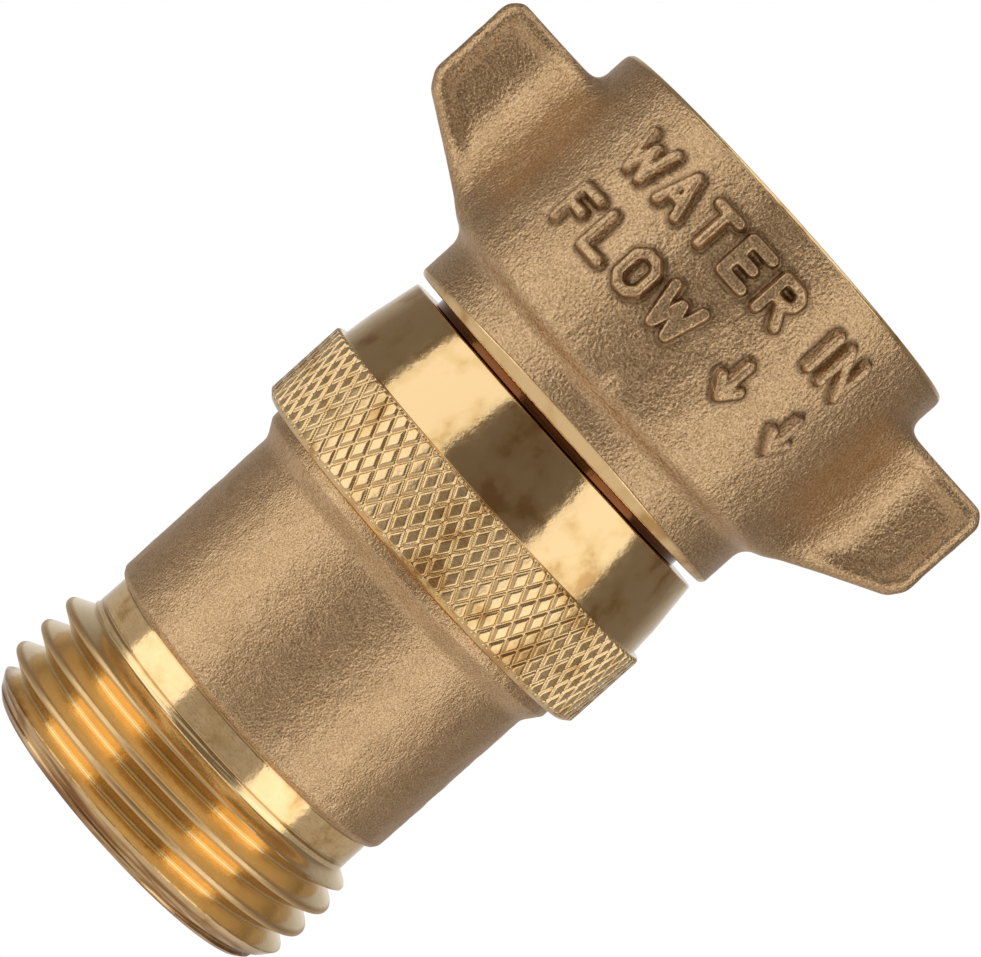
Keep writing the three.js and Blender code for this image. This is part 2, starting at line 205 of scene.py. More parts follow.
def rounded(corners):
    """A closed outline of [radius, z, bevel] corners with each corner turned into an arc of that bevel."""
    outline = []
    count = len(corners)
    for i, (r, z, bevel) in enumerate(corners):
        here = np.array([r, z])
        before = np.array(corners[i - 1][:2]) - here
        after = np.array(corners[(i + 1) % count][:2]) - here
        room = min(np.linalg.norm(before), np.linalg.norm(after)) / 2
        before /= np.linalg.norm(before)
        after /= np.linalg.norm(after)
        half = math.acos(np.clip(before @ after, -1, 1)) / 2
        if bevel == 0 or half > math.radians(88):
            outline.append(here)
            continue
        reach = min(bevel / math.tan(half), room)
        radius = reach * math.tan(half)
        middle = before + after
        centre = here + middle / np.linalg.norm(middle) * radius / math.sin(half)
        first = here + before * reach - centre
        last = here + after * reach - centre
        for step in range(ARC_STEPS + 1):
            share = step / ARC_STEPS
            arc = first * (1 - share) + last * share
            outline.append(centre + arc / np.linalg.norm(arc) * radius)
    return np.array(outline)


def split_long(outline, low_z, high_z, inner_r, step):
    """The outline with points added every step on its stretches outside inner_r between two heights."""
    result = []
    for here, after in zip(outline, np.roll(outline, -1, axis=0)):
        result.append(here)
        length = np.linalg.norm(after - here)
        outside = min(here[0], after[0]) > inner_r
        between = min(here[1], after[1]) > low_z - 0.01 and max(here[1], after[1]) < high_z + 0.01
        if outside and between and length > step:
            pieces = math.ceil(length / step)
            result.extend(here + (after - here) * k / pieces for k in range(1, pieces))
    return np.array(result)


def turned_points(outline, columns):
    """Radius, angle and height of an outline turned about Z, each as an array of [row, column]."""
    angle = np.arange(columns) * TURN / columns
    r = np.repeat(outline[:, 0, None], columns, axis=1)
    z = np.repeat(outline[:, 1, None], columns, axis=1)
    return r, np.broadcast_to(angle, r.shape), z


def turned_faces(rows, columns):
    """The quads that join the rows of a closed outline turned about Z."""
    row = np.arange(rows)[:, None]
    column = np.arange(columns)[None, :]
    next_row = (row + 1) % rows
    next_column = (column + 1) % columns
    corners = [row * columns + column, row * columns + next_column]
    corners += [next_row * columns + next_column, next_row * columns + column]
    return np.stack([c + np.zeros((rows, columns), int) for c in corners], axis=-1).reshape(-1, 4)


def polar(r, angle, z):
    """Points from their radius, angle and height."""
    return np.stack([r * np.cos(angle), r * np.sin(angle), z], axis=-1).reshape(-1, 3)


def turned(name, corners, material, columns=128):
    """A plain turned piece from [radius, z, bevel] corners, listed up the outside and down the inside."""
    outline = rounded(corners)
    r, angle, z = turned_points(outline, columns)
    return new_mesh(name, polar(r, angle, z), turned_faces(len(outline), columns), [material])


def drill(piece, radius, start, end):
    """Cuts a round hole in the piece between two points in millimetres."""
    start = Vector(start) * MM
    end = Vector(end) * MM
    along = end - start
    middle = Matrix.Translation((start + end) / 2) @ along.to_track_quat("Z", "Y").to_matrix().to_4x4()
    tool = bmesh.new()
    bmesh.ops.create_cone(tool, cap_ends=True, segments=64, radius1=radius * MM, radius2=radius * MM,
                          depth=along.length, matrix=middle)
    mesh = bpy.data.meshes.new("drill")
    tool.to_mesh(mesh)
    tool.free()
    cutter = bpy.data.objects.new("drill", mesh)
    bpy.context.scene.collection.objects.link(cutter)
    modifier = piece.modifiers.new("hole", "BOOLEAN")
    modifier.object = cutter
    modifier.operation = "DIFFERENCE"
    modifier.solver = "MANIFOLD"
    cut = bpy.data.meshes.new_from_object(piece.evaluated_get(bpy.context.evaluated_depsgraph_get()))
    piece.modifiers.clear()
    piece.data = cut
    bpy.data.objects.remove(cutter)


def noise(points, cell, seed):
    """Smooth noise from -1 to 1 at points, with one random value at each corner of a grid of cells."""
    table = np.random.default_rng(seed).uniform(-1, 1, 4096).astype(np.float32)
    place = np.asarray(points) / cell
    corner = np.floor(place).astype(np.int64)
    inside = place - corner
    inside = inside * inside * (3 - 2 * inside)
    total = np.zeros(len(place))
    for dx in (0, 1):
        for dy in (0, 1):
            for dz in (0, 1):
                key = (corner[:, 0] + dx) * 73856093
                key ^= (corner[:, 1] + dy) * 19349663
                key ^= (corner[:, 2] + dz) * 83492791
                weight = 1.0
                for axis, d in enumerate((dx, dy, dz)):
                    weight = weight * (inside[:, axis] if d else 1 - inside[:, axis])
                total += weight * table[key & 4095]
    return total


def step_down(value, low, high):
    """1 below low, 0 above high, smooth between."""
    share = np.clip((value - low) / (high - low), 0, 1)
    return 1 - share * share * (3 - 2 * share)


def soft_min(a, b, blend):
    """The smaller of two radii, with the corner where they cross rounded over about blend millimetres."""
    return (a + b - np.sqrt((a - b) ** 2 + blend**2)) / 2


def cast_grain(points, seed):
    """How far sand-cast metal stands proud at points, in millimetres."""
    coarse = 0.03 * noise(points, 1.7, seed) + 0.02 * noise(points, 0.7, seed + 1)
    return coarse + 0.008 * noise(points, 0.34, seed + 2)


# ---------------------------------------------------------------- materials


class Nodes:
    """A short way to write a node material: each call adds a node and returns its output."""

    def __init__(self, name):
        self.material = bpy.data.materials.new(name)
        self.material.use_nodes = True
        self.tree = self.material.node_tree
        self.shader = self.tree.nodes["Principled BSDF"]
        self.place = self.add("ShaderNodeTexCoord").outputs["Object"]

    def add(self, kind, **settings):
        node = self.tree.nodes.new(kind)
        for key, value in settings.items():
            setattr(node, key, value)
        return node

    def feed(self, socket, value):
        if isinstance(value, bpy.types.NodeSocket):
            self.tree.links.new(value, socket)
        else:
            socket.default_value = value

    def math(self, operation, a, b=0.0):
        node = self.add("ShaderNodeMath", operation=operation)
        self.feed(node.inputs[0], a)
        self.feed(node.inputs[1], b)
        return node.outputs[0]

    def smooth(self, value, low, high):
        """0 below low, 1 above high, smooth between."""
        node = self.add("ShaderNodeMapRange", interpolation_type="SMOOTHSTEP")
        for socket, number in zip(node.inputs[:3], (value, low, high)):
            self.feed(socket, number)
        return node.outputs[0]

    def noise(self, size, detail=2.0, stretch=(1, 1, 1)):
        """Noise from 0 to 1 whose lumps are about size millimetres across."""
        scaled = self.add("ShaderNodeMapping")
        self.feed(scaled.inputs["Vector"], self.place)
        scaled.inputs["Scale"].default_value = [1 / (MM * size * s) for s in stretch]
        node = self.add("ShaderNodeTexNoise")
        self.feed(node.inputs["Vector"], scaled.outputs[0])
        node.inputs["Scale"].default_value = 1.0
        node.inputs["Detail"].default_value = detail
        return node.outputs[0]

    def ramp(self, value, stops):
        """A colour ramp through (position, colour) stops."""
        node = self.add("ShaderNodeValToRGB")
        elements = node.color_ramp.elements
        while len(elements) < len(stops):
            elements.new(0.5)
        for element, (position, colour) in zip(elements, stops):
            element.position = position
            element.color = (*colour, 1)
        self.feed(node.inputs[0], value)
        return node.outputs[0]

    def mix(self, share, a, b):
        node = self.add("ShaderNodeMix", data_type="RGBA")
        self.feed(node.inputs[0], share)
        for socket, value in ((node.inputs[6], a), (node.inputs[7], b)):
            self.feed(socket, value if isinstance(value, bpy.types.NodeSocket) else (*value, 1))
        return node.outputs[2]

    def bump(self, height, depth):
        """A bump of height times depth millimetres."""
        node = self.add("ShaderNodeBump")
        self.feed(node.inputs["Height"], height)
        node.inputs["Distance"].default_value = depth * MM
        self.feed(self.shader.inputs["Normal"], node.outputs[0])

    def metal(self, colour, roughness, height, depth):
        """Makes the material a metal, with a bump of height times depth millimetres, and returns it."""
        self.feed(self.shader.inputs["Base Color"], colour)
        self.feed(self.shader.inputs["Roughness"], roughness)
        self.shader.inputs["Metallic"].default_value = 1.0
        self.bump(height, depth)
        return self.material

    def axis(self):
        """The distance from the long axis and the height along it, in millimetres."""
        parts = self.add("ShaderNodeSeparateXYZ")
        self.feed(parts.inputs[0], self.place)
        x, y, z = parts.outputs
        square = self.math("ADD", self.math("MULTIPLY", x, x), self.math("MULTIPLY", y, y))
        radius = self.math("SQRT", square)
        return self.math("DIVIDE", radius, MM), self.math("DIVIDE", z, MM)


BRASS_DARK = (0.44, 0.285, 0.15)
BRASS_MID = (0.61, 0.41, 0.22)
BRASS_LIGHT = (0.80, 0.57, 0.33)
# Dark brown for dirt together with painted shade at the foot of the nut's letters.
BRASS_GRIME_AND_SHADE = (0.15, 0.09, 0.045)
TARNISH = (0.30, 0.145, 0.06)
# Painted shade for the neck, in the gap between the band and the nut.
NECK_PAINTED_SHADE = (0.20, 0.08, 0.03)
BRASS_FRESH = (0.95, 0.72, 0.38)
TURNED_DARK = (0.66, 0.40, 0.16)
TURNED_MID = (0.86, 0.60, 0.28)
TURNED_LIGHT = (0.95, 0.69, 0.36)


def shaded(colour, shade):
    """The colour made darker or lighter."""
    return tuple(shade * c for c in colour)


def cast_parts(n, grain, shade):
    """Colour, roughness and bump height of sand-cast brass with lumps of grain millimetres."""
    fine = n.noise(grain, 2)
    speck = n.noise(grain * 0.6, 1)
    blotch = n.noise(grain * 12, 2)
    tone = n.math("ADD", n.math("MULTIPLY", speck, 0.85), n.math("MULTIPLY", blotch, 0.15))
    tones = ((0.36, BRASS_DARK), (0.50, BRASS_MID), (0.66, BRASS_LIGHT))
    colour = n.ramp(tone, [(position, shaded(tint, shade)) for position, tint in tones])
    point = n.add("ShaderNodeNewGeometry").outputs["Pointiness"]
    worn = n.smooth(point, 0.51, 0.58)
    colour = n.mix(n.math("MULTIPLY", worn, 0.5), colour, shaded(BRASS_LIGHT, shade))
    # Darkened at the foot of the nut's letters: dirt together with painted shade in the recesses round them.
    grime_and_shade = n.add("ShaderNodeAttribute", attribute_name="grime_and_shade").outputs["Fac"]
    colour = n.mix(n.math("MULTIPLY", grime_and_shade, 0.7), colour, BRASS_GRIME_AND_SHADE)
    roughness = n.math("ADD", 0.28, n.math("MULTIPLY", speck, 0.20))
    height = n.math("ADD", n.math("MULTIPLY", fine, 1.3), n.math("MULTIPLY", n.noise(grain * 2.2, 1), 0.7))
    return colour, roughness, height


def turned_parts(n, smoothest, shade):
    """Colour, roughness and bump height of turned brass: fine rings round the axis, and handling marks."""
    rings = n.noise(0.12, 2, stretch=(60, 60, 1))
    waviness = n.noise(0.45, 3)
    stain = n.noise(2.6, 6)
    tones = ((0.34, TURNED_DARK), (0.42, TURNED_MID), (0.52, TURNED_LIGHT))
    colour = n.ramp(stain, [(position, shaded(tint, shade)) for position, tint in tones])
    roughness = n.math("ADD", smoothest, n.math("MULTIPLY", n.noise(0.9, 5), 0.16))
    height = n.math("ADD", n.math("MULTIPLY", rings, 0.35), n.math("MULTIPLY", waviness, 1.6))
    return colour, roughness, height


def cast_brass(name, grain):
    """Sand-cast brass."""
    n = Nodes(name)
    colour, roughness, height = cast_parts(n, grain, 1.03)
    return n.metal(colour, roughness, height, grain * 0.30)


def turned_brass(name, depth, smoothest, shade):
    """Turned brass."""
    n = Nodes(name)
    colour, roughness, height = turned_parts(n, smoothest, shade)
    return n.metal(colour, roughness, height, depth)


def body_brass(name):
    """Turned brass of the body: fresh in the hose thread, dull on its crests, brown at its end, and painted
    dark on its neck as shade in the gap under the nut.
    """
    n = Nodes(name)
    colour, roughness, height = turned_parts(n, 0.05, 0.88)
    radius, z = n.axis()
    thread = n.math("MULTIPLY", n.smooth(z, RELIEF_Z + 0.1, RELIEF_Z - 0.1), n.smooth(z, 1.4, 1.8))
    crest = n.math("MULTIPLY", thread, n.smooth(radius, MALE_R - 0.4, MALE_R - 0.1))
    streaks = n.noise(1.1, 4, stretch=(5, 5, 0.3))
    end = n.math("MULTIPLY", n.smooth(z, 1.7, 1.0), n.smooth(streaks, 0.72, 0.36))
    # Painted shade: the outside of the neck above the band is darkened for the shaded gap under the nut.
    neck = n.math("MULTIPLY", n.smooth(z, BAND_TOP_Z - 0.05, BAND_TOP_Z + 0.05), n.smooth(radius, 10.4, 10.8))
    colour = n.mix(n.math("MULTIPLY", thread, 0.75), colour, BRASS_FRESH)
    colour = n.mix(n.math("MULTIPLY", crest, 0.5), colour, TURNED_DARK)
    colour = n.mix(end, colour, TARNISH)
    colour = n.mix(neck, colour, NECK_PAINTED_SHADE)
    dull = n.math("MAXIMUM", n.math("MULTIPLY", thread, 0.25), n.math("MAXIMUM", crest, end))
    roughness = n.math("ADD", roughness, n.math("MULTIPLY", dull, 0.22))
    return n.metal(colour, roughness, height, 0.006)


def nut_brass(name, grain):
    """Cast brass that turns to machined brass on the nut's end face, its bore and its lower chamfer."""
    n = Nodes(name)
    radius, z = n.axis()
    top = n.smooth(z, NUT_TOP_Z - 0.30, NUT_TOP_Z - 0.26)
    bore = n.smooth(radius, FEMALE_MAJOR_R + 0.06, FEMALE_MAJOR_R)
    below_lip = n.smooth(z, NUT_Z + 0.05, NUT_Z)
    lean = n.math("MULTIPLY", n.math("SUBTRACT", z, NUT_Z), CHAMFER_SLOPE)
    cone = n.math("SUBTRACT", n.math("SUBTRACT", radius, CHAMFER_R), lean)
    chamfer = n.math("MULTIPLY", n.smooth(cone, -0.07, -0.03), n.smooth(z, SHOULDER_Z, SHOULDER_Z - 0.5))
    inside = n.math("MULTIPLY", bore, n.smooth(z, NUT_Z + 0.9, NUT_Z + 1.5))
    cut = n.math("MAXIMUM", n.math("MAXIMUM", top, inside), n.math("MAXIMUM", chamfer, below_lip))
    cast_colour, cast_roughness, cast_height = cast_parts(n, grain, 0.96)
    cut_colour, cut_roughness, _ = turned_parts(n, 0.16, 1.0)
    colour = n.mix(cut, cast_colour, cut_colour)
    uncut = n.math("MULTIPLY", cast_roughness, n.math("SUBTRACT", 1, cut))
    roughness = n.math("ADD", n.math("MULTIPLY", cut_roughness, cut), uncut)
    keep = n.math("SUBTRACT", 1, n.math("MULTIPLY", cut, 0.93))
    return n.metal(colour, roughness, n.math("MULTIPLY", cast_height, keep), grain * 0.30)


def steel(name, light, rough, stretch):
    """Stainless steel with drawn or turned marks."""
    n = Nodes(name)
    marks = n.noise(0.15, 3, stretch)
    patches = n.noise(2.5, 3)
    colour = n.ramp(patches, [(0.3, shaded(light, 0.72)), (0.7, light)])
    return n.metal(colour, n.math("ADD", rough, n.math("MULTIPLY", marks, 0.18)), marks, 0.008)


def moulded(name, dark, light, rough):
    """Rubber or PTFE: a soft mottle, a fine grain and a slight bloom."""
    n = Nodes(name)
    n.feed(n.shader.inputs["Base Color"], n.ramp(n.noise(1.8, 4), [(0.35, dark), (0.7, light)]))
    n.feed(n.shader.inputs["Roughness"], n.math("ADD", rough, n.math("MULTIPLY", n.noise(0.7, 3), 0.25)))
    n.bump(n.noise(0.16, 3), 0.012)
    return n.material


# ---------------------------------------------------------------- brass bodies


def thread_drop(offset):
    """How deep a rounded 60 degree thread lies below its crest, at an axial offset from the crest."""
    near = np.abs(offset)
    far = PITCH / 2 - near
    crest_end = CREST_ROUND * math.sin(math.radians(60))
    root_end = ROOT_ROUND * math.sin(math.radians(60))
    crest = CREST_ROUND - np.sqrt(CREST_ROUND**2 - np.minimum(near, crest_end) ** 2)
    flank = FLANK_SLOPE * np.clip(near - crest_end, 0, PITCH / 2 - root_end - crest_end)
    root = np.sqrt(ROOT_ROUND**2 - np.minimum(far, root_end) ** 2) - ROOT_ROUND / 2
    return crest + flank + root


def thread_offset(angle, z, crest_z):
    """Axial distance to the nearest crest of a right-hand thread with a crest at crest_z on the -X side."""
    climb = z - crest_z - PITCH * (angle / TURN - 0.5)
    return climb - PITCH * np.round(climb / PITCH)


def male_thread(angle, z):
    """Radius of the outlet's thread, with a chamfered and turned-down start and a run-out into the relief."""
    r = MALE_R - thread_drop(thread_offset(angle, z, MALE_CREST_Z))
    start = np.minimum(OUTLET_END_R + 1.2 * z, 12.34 + 0.65 * (z - START_LINE_Z))
    line = 0.12 * np.clip(1 - np.abs(z - START_LINE_Z) / 0.11, 0, 1)
    run_out = RELIEF_R + 1.5 * step_down(z, 7.6, 8.75)
    return soft_min(r, np.minimum(start - line, run_out), 0.04)


def outlet_body(cast, machined):
    """Threaded outlet end, relief groove, cast barrel and flange, with the bore and the spigot inside."""
    thread_z = np.arange(0, RELIEF_Z + 0.001, 0.05)
    thread = np.stack([np.full_like(thread_z, MALE_R), thread_z], axis=1)
    joint = JOINT_Z - 0.05
    relief = [
        (RELIEF_R, RELIEF_Z, 0), (RELIEF_R, RELIEF_LINE_Z - 0.04, 0), (RELIEF_R - 0.05, RELIEF_LINE_Z, 0),
        (RELIEF_R, RELIEF_LINE_Z + 0.04, 0), (RELIEF_R - 0.02, CAST_LOW_Z - 0.04, 0.08),
    ]
    barrel = [(12.3, CAST_LOW_Z, 0.2), (CAST_R, CAST_LOW_Z + 0.39, 0.4), (CAST_R + 0.02, 24.35, 1.2)]
    flange = [(FLANGE_R, 25.55, 0.35), (FLANGE_R, joint, 0.12)]
    spigot = [(SPIGOT_R, joint, 0), (SPIGOT_R, SPIGOT_TOP_Z, 0.3), (PISTON_BORE_R, SPIGOT_TOP_Z, 0.3)]
    bore = [(PISTON_BORE_R, PISTON_BORE_Z, 0.3), (OUTLET_BORE_R, PISTON_BORE_Z, 0.2), (OUTLET_BORE_R, 0, 0.3)]
    rest = split_long(rounded(relief + barrel + flange + spigot + bore), RELIEF_Z, joint, 11.8, 0.15)
    outline = np.concatenate([thread, rest])
    columns = 720
    r, angle, z = turned_points(outline, columns)
    r = r.copy()
    r[: len(thread)] = male_thread(angle[: len(thread)], z[: len(thread)])
    outer_r, height = outline.T
    cast_rows = (height > CAST_LOW_Z - 0.02) & (height < joint - 0.01) & (outer_r > 12.2)
    points = polar(r, angle, z).reshape(len(outline), columns, 3)
    fade = np.clip((height[cast_rows] - CAST_LOW_Z) / 0.3, 0, 1)[:, None]
    r[cast_rows] += cast_grain(points[cast_rows].reshape(-1, 3), 11).reshape(-1, columns) * fade
    slots = np.repeat(np.where(cast_rows, 0, 1), columns)
    faces = turned_faces(len(outline), columns)
    return new_mesh("outlet_body_fine", polar(r, angle, z), faces, [cast, machined], slots, 70)


def knurl_depth(angle, z):
    """Depth of the crossed V grooves that leave flat-topped diamonds."""
    wide = TURN * KNURL_R / KNURL_COUNT
    spacing = 1 / math.hypot(1 / wide, 1 / KNURL_TALL)
    round_share = KNURL_COUNT * angle / TURN
    depth = np.zeros_like(z)
    for lean in (-1, 1):
        line = round_share + lean * z / KNURL_TALL
        off = np.abs(line - np.round(line)) * spacing
        depth = np.maximum(depth, KNURL_DEPTH * np.clip(1 - off / KNURL_HALF_W, 0, 1))
    return depth


def inlet_body(knurled, machined):
    """Knurled ring, polished tapering band and the neck that carries the nut."""
    top = KNURL_TOP_Z
    knurl = [
        (SOCKET_R, JOINT_Z, 0.1), (14.4, JOINT_Z, 0.08), (KNURL_R, JOINT_Z + 0.42, 0.12),
        (KNURL_R, top - 0.18, 0.1), (14.62, top, 0.05), (14.24, top + 0.02, 0.06),
    ]
    band = [(14.20, top + 0.5, 1), (14.05, top + 2.1, 3), (13.72, top + 4.1, 2), (13.46, BAND_TOP_Z, 0.14)]
    neck = [
        (NECK_R, BAND_TOP_Z, 0.15), (NECK_R, SPLIT_RING_LOW_Z, 0.05),
        (SPLIT_RING_R, SPLIT_RING_LOW_Z, 0.1), (SPLIT_RING_R, SPLIT_RING_TOP_Z, 0.1),
        (NECK_R, SPLIT_RING_TOP_Z, 0.05), (NECK_R, NECK_TOP_Z - 0.4, 0.1), (11.2, NECK_TOP_Z, 0.1),
    ]
    carrier_seat = [
        (CARRIER_R, NECK_TOP_Z, 0.1), (CARRIER_R, CIRCLIP_TOP_Z, 0.05), (CIRCLIP_R, CIRCLIP_TOP_Z, 0.05),
        (CIRCLIP_R, CIRCLIP_LOW_Z, 0.05), (CARRIER_R, CIRCLIP_LOW_Z, 0.05),
        (CARRIER_R, CARRIER_SHELF_Z, 0.05), (PASSAGE_R, CARRIER_SHELF_Z, 0.1),
    ]
    stem_gland = [
        (PASSAGE_R, DECK_TOP_Z, 0.2), (STEM_HOLE_R, DECK_TOP_Z, 0.1), (STEM_HOLE_R, SEAL_TOP_Z, 0.05),
        (SEAL_R, SEAL_TOP_Z, 0.1), (SEAL_R, SEAL_LOW_Z, 0.1), (STEM_HOLE_R, SEAL_LOW_Z, 0.05),
        (STEM_HOLE_R, BUSH_TOP_Z, 0.05), (BUSH_R, BUSH_TOP_Z, 0.1), (BUSH_R, DECK_LOW_Z, 0.1),
    ]
    spring_room = [
        (SPRING_ROOM_R, DECK_LOW_Z, 0.3), (SPRING_ROOM_R, SPRING_ROOM_Z, 0.2), (SOCKET_R, SPRING_ROOM_Z, 0.2),
    ]
    outline = rounded(knurl + band + neck + carrier_seat + stem_gland + spring_room)
    outline = split_long(outline, JOINT_Z, top, 14.3, 0.075)
    columns = KNURL_COUNT * 16
    r, angle, z = turned_points(outline, columns)
    ring = (outline[:, 0] > 14.5) & (outline[:, 1] > JOINT_Z + 0.05) & (outline[:, 1] < top - 0.01)
    r = r.copy()
    groove_floor = np.minimum(r[ring], KNURL_R - KNURL_DEPTH)
    r[ring] = np.maximum(r[ring] - knurl_depth(angle[ring], z[ring]), groove_floor)
    slots = np.repeat(np.where(ring, 0, 1), columns)
    faces = turned_faces(len(outline), columns)
    piece = new_mesh("inlet_body_fine", polar(r, angle, z), faces, [knurled, machined], slots, 70)
    drill(piece, VENT_R, (0, 8.8, VENT_Z), (0, 16, VENT_Z))
    return piece


# ---------------------------------------------------------------- swivel nut

# Letters are strokes on a grid 4 wide and 6 high. The words only say which way the water goes.
STROKES = {
    "W": [[(0, 6), (1.4, 0), (2.8, 4.6), (4.2, 0), (5.6, 6)]],
    "A": [[(0, 0), (2, 6), (4, 0)], [(0.8, 2), (3.2, 2)]],
    "T": [[(0, 6), (4, 6)], [(2, 6), (2, 0)]],
    "E": [[(3.8, 6), (0, 6), (0, 0), (3.8, 0)], [(0, 3), (3, 3)]],
    "R": [[(0, 0), (0, 6), (2.8, 6), (3.8, 5.2), (3.8, 3.9), (2.8, 3), (0, 3)], [(2, 3), (4, 0)]],
    "I": [[(0, 0), (0, 6)]],
    "N": [[(0, 0), (0, 6), (4, 0), (4, 6)]],
    "L": [[(0, 6), (0, 0), (3.6, 0)]],
    "F": [[(3.8, 6), (0, 6), (0, 0)], [(0, 3), (3, 3)]],
    "O": [[(1.2, 0), (0, 1.2), (0, 4.8), (1.2, 6), (2.8, 6), (4, 4.8), (4, 1.2), (2.8, 0), (1.2, 0)]],
    "v": [[(2, 6), (2, 0.2)], [(0.2, 2.4), (2, 0), (3.8, 2.4)]],
}
LETTER_TALL = 2.65
LETTER_GAP = 1.28
LETTER_RELIEF = 0.72
STROKE_HALF_W = 0.38
GLYPH_WIDTHS = {"I": 0, "W": 5.6, " ": 2.0}
ROWS = (("WATER IN", NUT_TOP_Z - 5.55), ("FLOW v v", NUT_TOP_Z - 10.95))


def letter_distance(across, z):
    """Distance from each point of the drum's unrolled face to the nearest stroke of the raised letters."""
    unit = LETTER_TALL / 6
    nearest = np.full(across.shape, 9.0, np.float32)
    for text, base_z in ROWS:
        widths = [GLYPH_WIDTHS.get(character, 4) * unit for character in text]
        left = -(sum(widths) + LETTER_GAP * (len(text) - 1)) / 2
        for character, width in zip(text, widths):
            for stroke in STROKES.get(character, []):
                for (x0, y0), (x1, y1) in zip(stroke, stroke[1:]):
                    start = np.array([left + x0 * unit, base_z + y0 * unit])
                    run = np.array([left + x1 * unit, base_z + y1 * unit]) - start
                    du = across - start[0]
                    dz = z - start[1]
                    share = np.clip((du * run[0] + dz * run[1]) / (run @ run), 0, 1)
                    nearest = np.minimum(nearest, np.hypot(du - share * run[0], dz - share * run[1]))
            left += width + LETTER_GAP
    return nearest


def polygon_distance(x, z, corners):
    """Signed distance to a convex polygon whose corners run anticlockwise, negative inside."""
    distance = np.full(np.broadcast(x, z).shape, -99.0, np.float32)
    for (x0, z0), (x1, z1) in zip(corners, corners[1:] + corners[:1]):
        length = math.hypot(x1 - x0, z1 - z0)
        side = ((x - x0) * (z1 - z0) - (z - z0) * (x1 - x0)) / length
        distance = np.maximum(distance, side)
    return distance


def round_join(a, b, radius):
    """Union of two distances with a fillet."""
    fillet = np.hypot(np.maximum(radius - a, 0), np.maximum(radius - b, 0))
    return np.maximum(radius, np.minimum(a, b)) - fillet


def round_meet(a, b, radius):
    """Intersection of two distances with a rounded edge."""
    edge = np.hypot(np.maximum(radius + a, 0), np.maximum(radius + b, 0))
    return np.minimum(-radius, np.maximum(a, b)) + edge


def blur(field, width, voxel):
    """The field smoothed along each axis by a bell curve of that width."""
    reach = math.ceil(2.5 * width / voxel)
    weights = np.exp(-0.5 * (np.arange(-reach, reach + 1) * voxel / width) ** 2)
    weights /= weights.sum()
    for axis in range(3):
        padded = np.pad(field, [(reach, reach) if a == axis else (0, 0) for a in range(3)], mode="edge")
        total = np.zeros_like(field)
        for k, weight in enumerate(weights):
            window = [slice(None)] * 3
            window[axis] = slice(k, k + field.shape[axis])
            total += np.float32(weight) * padded[tuple(window)]
        field = total
    return field


def female_bore(angle, z):
    """Radius of the nut's inside: lip round the neck, the washer's room, thread and chamfered mouth."""
    thread = FEMALE_MINOR_R + thread_drop(thread_offset(angle, z, FEMALE_CREST_Z))
    thread = np.minimum(thread, FEMALE_MAJOR_R)
    fade = np.clip((z - 50.2) / 0.8, 0, 1)
    thread = thread * fade + FEMALE_MAJOR_R * (1 - fade)
    mouth = np.clip(z - (NUT_TOP_Z - 1.3), 0, 1.3)
    thread = np.maximum(thread, FEMALE_MINOR_R + 0.1 + 1.1 * mouth * (mouth > 0))
    return np.where(z < LIP_Z, LIP_R, thread)


def nut_field(x, y, z, voxel):
    """Signed distance to the swivel nut, negative in the metal, over a grid of points."""
    rho = np.hypot(x, y)
    angle = np.arctan2(y, x)
    drum = round_meet(rho - DRUM_R, SHOULDER_Z - z, 1.6)
    drum = round_meet(drum, z - NUT_TOP_Z - 0.15, 0.5)
    collar_r = COLLAR_R + COLLAR_OVAL * np.sin(angle) ** 2
    collar = np.maximum(rho - collar_r, z - SHOULDER_Z - 1)
    side = polygon_distance(np.abs(x), z, [
        (0, 42.6), (13.95, 43.0), (22.4, 47.75), (WING_R + 0.1, 48.85), (WING_R + 0.1, 55.3),
        (22.4, WING_TOP_Z), (0, WING_TOP_Z),
    ])
    border = step_down(side, -1.8, -0.8)
    dish = WING_DISH * border * (1 - step_down(np.abs(x), 14.5, 18.4))
    plan = round_join(rho - DRUM_R, np.abs(y) - WING_HALF_T + dish, WING_FILLET)
    wing = round_meet(plan, side, 0.9)
    web = 0.9 * (1 - step_down(np.abs(x), 13.6, 15.2))
    cast = blur(round_join(round_join(drum, wing, web), collar, 0.9), 0.26, voxel)
    front = (np.cos(angle + math.pi / 2) > 0.3) & (rho > 14)
    letters = letter_distance(DRUM_R * (angle + math.pi / 2), z)
    relief = LETTER_RELIEF * step_down(letters, STROKE_HALF_W - 0.16, STROKE_HALF_W + 0.17)
    cast = cast - np.where(front, relief, 0)
    low_cone = (rho - CHAMFER_R - CHAMFER_SLOPE * (z - NUT_Z)) / math.hypot(1, CHAMFER_SLOPE)
    chamfer = np.where(z < SHOULDER_Z, low_cone, -9)
    top_edge = np.where(z > WING_TOP_Z + 1, ((rho - (DRUM_R - 0.26)) + (z - NUT_TOP_Z)) / math.sqrt(2), -9)
    ends = np.maximum(np.maximum(NUT_Z - z, z - NUT_TOP_Z), np.maximum(chamfer, top_edge))
    hollow = female_bore(angle, z) - rho
    return np.maximum(np.maximum(cast, ends), hollow)


def dirt_and_shade_round_letters(points):
    """How dark the metal is at each point, from 0 to 1: dirt together with painted shade at the foot of the
    letters.
    """
    x, y, z = points.T
    angle = np.arctan2(y, x)
    outside = np.hypot(x, y) > DRUM_R - 0.6
    foot = letter_distance(DRUM_R * (angle + math.pi / 2), z) - STROKE_HALF_W
    return step_down(np.abs(foot - 0.2), 0.04, 0.3) * outside * (y < 0)


